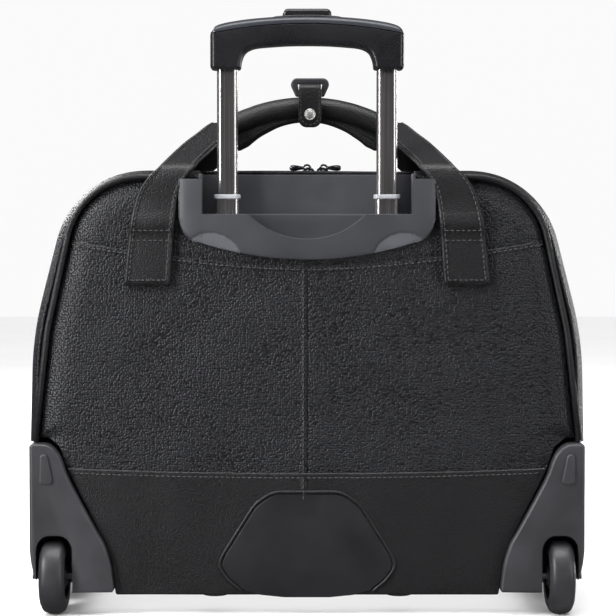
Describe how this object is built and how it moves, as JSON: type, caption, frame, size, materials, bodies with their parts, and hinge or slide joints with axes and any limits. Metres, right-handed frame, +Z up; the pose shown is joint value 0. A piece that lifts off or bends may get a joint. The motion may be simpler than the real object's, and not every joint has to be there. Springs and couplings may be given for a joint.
{
  "type": "rolling laptop case",
  "caption": "Soft-sided laptop case on inline wheels, with a telescoping trolley handle, leather carry handles and a front half that opens on a zipper.",
  "frame": {"origin": "on the floor under the middle of the case's bounding box", "axes": "+Z up, +X to the right seen from the trolley side, +Y from the trolley side to the pocket side"},
  "size_m": [0.442, 0.224, 0.482],
  "materials": {
    "pebbled_leather": "black pebbled grain, low sheen",
    "smooth_leather": "black fine grain, soft sheen",
    "tray_fabric": "black coated base, matt",
    "lining": "grey woven lining",
    "zipper_tape": "black woven tape",
    "board": "pressed board",
    "guard_plastic": "black moulded, fine texture",
    "bezel_plastic": "dark grey moulded",
    "grip_plastic": "black, satin",
    "button_plastic": "black, semi-gloss",
    "collar_plastic": "light grey moulded",
    "pole_metal": "gunmetal anodised",
    "steel": "zinc plated",
    "hub_metal": "satin silver",
    "snap_metal": "polished silver",
    "black_nickel": "black nickel",
    "tyre": "black urethane",
    "foot_rubber": "black rubber"
  },
  "bodies": {
    "root": {"rear_gusset": "pebbled_leather", "rear_zipper_tape": "zipper_tape", "base_tray": "tray_fabric", "back_panel": "pebbled_leather", "lower_back_panel": "smooth_leather", "rear_piping": "smooth_leather", "back_board": "board", "laptop_sleeve": "lining", "front_feet": "foot_rubber", "foot_screws": "steel", "wheel_housing_left": "guard_plastic", "wheel_housing_right": "guard_plastic", "wheel_axles": "steel", "kick_plate": "guard_plastic", "trolley_bezel": "bezel_plastic", "trolley_well": "bezel_plastic", "outer_tube_left": "pole_metal", "outer_tube_right": "pole_metal", "tube_foot_bracket": "guard_plastic", "bracket_rivets": "steel", "rear_strap_anchors": "smooth_leather"},
    "wheel_left": {"tyre_left": "tyre", "hub_left": "hub_metal", "bearings_left": "steel"},
    "wheel_right": {"tyre_right": "tyre", "hub_right": "hub_metal", "bearings_right": "steel"},
    "middle_stage": {"middle_tube_left": "pole_metal", "middle_tube_right": "pole_metal", "tube_collars": "collar_plastic"},
    "upper_stage": {"upper_tube_left": "pole_metal", "upper_tube_right": "pole_metal", "grip_body": "grip_plastic", "grip_cover": "grip_plastic", "grip_screws": "steel"},
    "release": {"release_button": "button_plastic", "release_rods": "steel"},
    "lock_left": {"lock_pin_left": "steel"},
    "lock_right": {"lock_pin_right": "steel"},
    "rear_handle": {"rear_handle_straps": "smooth_leather", "rear_handle_roll": "smooth_leather", "keeper_wrap": "smooth_leather", "keeper_ring": "black_nickel"},
    "keeper": {"keeper_flap": "smooth_leather", "snap_cap": "snap_metal"},
    "front_half": {"front_gusset": "pebbled_leather", "front_zipper_tape": "zipper_tape", "front_panel": "pebbled_leather", "front_piping": "smooth_leather", "organizer_pocket": "lining", "front_pocket": "pebbled_leather", "pocket_zipper": "zipper_tape", "front_strap_anchors": "smooth_leather"},
    "front_handle": {"front_handle_straps": "smooth_leather", "front_handle_roll": "smooth_leather"},
    "zipper_left": {"zip_slider_left": "black_nickel"},
    "zipper_right": {"zip_slider_right": "black_nickel"},
    "pull_left": {"zip_pull_left": "black_nickel"},
    "pull_right": {"zip_pull_right": "black_nickel"},
    "pocket_zip": {"pocket_slider": "black_nickel"}
  },
  "joints": [
    {"name": "wheel_left_spin", "type": "hinge", "parent": "root", "child": "wheel_left", "pos_m": [-0.202, -0.082, 0.03], "axis": [1, 0, 0], "continuous": true},
    {"name": "wheel_right_spin", "type": "hinge", "parent": "root", "child": "wheel_right", "pos_m": [0.202, -0.082, 0.03], "axis": [1, 0, 0], "continuous": true},
    {"name": "middle_slide", "type": "slide", "parent": "root", "child": "middle_stage", "axis": [0, 0, 1], "range_m": [-0.012, 0.23]},
    {"name": "upper_slide", "type": "slide", "parent": "middle_stage", "child": "upper_stage", "axis": [0, 0, 1], "range_m": [-0.099, 0.13]},
    {"name": "button_press", "type": "slide", "parent": "upper_stage", "child": "release", "axis": [0, 0, -1], "range_m": [0, 0.0035], "stiffness_N_per_m": 500, "springref_m": -0.004},
    {"name": "lock_left_slide", "type": "slide", "parent": "upper_stage", "child": "lock_left", "axis": [1, 0, 0], "range_m": [0, 0.0024]},
    {"name": "lock_right_slide", "type": "slide", "parent": "upper_stage", "child": "lock_right", "axis": [-1, 0, 0], "range_m": [0, 0.0024]},
    {"name": "rear_handle_swing", "type": "hinge", "parent": "root", "child": "rear_handle", "pos_m": [0, -0.0915, 0.354], "axis": [1, 0, 0], "range_deg": [0, 20]},
    {"name": "keeper_open", "type": "hinge", "parent": "rear_handle", "child": "keeper", "pos_m": [0.0023, -0.0246, 0.4225], "axis": [-1, 0, 0], "range_deg": [0, 110]},
    {"name": "front_half_open", "type": "hinge", "parent": "root", "child": "front_half", "pos_m": [0, 0.09, 0.062], "axis": [-1, 0, 0], "range_deg": [0, 75]},
    {"name": "front_handle_swing", "type": "hinge", "parent": "front_half", "child": "front_handle", "pos_m": [0, 0.0915, 0.354], "axis": [-1, 0, 0], "range_deg": [0, 165]},
    {"name": "zipper_left_slide", "type": "slide", "parent": "root", "child": "zipper_left", "axis": [-1, 0, 0], "range_m": [0, 0.075]},
    {"name": "zipper_right_slide", "type": "slide", "parent": "root", "child": "zipper_right", "axis": [1, 0, 0], "range_m": [0, 0.075]},
    {"name": "pull_left_lift", "type": "hinge", "parent": "zipper_left", "child": "pull_left", "pos_m": [-0.001, 0, 0.3585], "axis": [0, 1, 0], "range_deg": [0, 110]},
    {"name": "pull_right_lift", "type": "hinge", "parent": "zipper_right", "child": "pull_right", "pos_m": [0.0145, 0, 0.3585], "axis": [0, -1, 0], "range_deg": [0, 110]},
    {"name": "pocket_zip_slide", "type": "slide", "parent": "front_half", "child": "pocket_zip", "axis": [1, 0, 0], "range_m": [0, 0.29]}
  ],
  "couplings": [
    {"joint": "lock_left_slide", "follows": "button_press", "ratio": 0.68},
    {"joint": "lock_right_slide", "follows": "button_press", "ratio": 0.68}
  ]
}
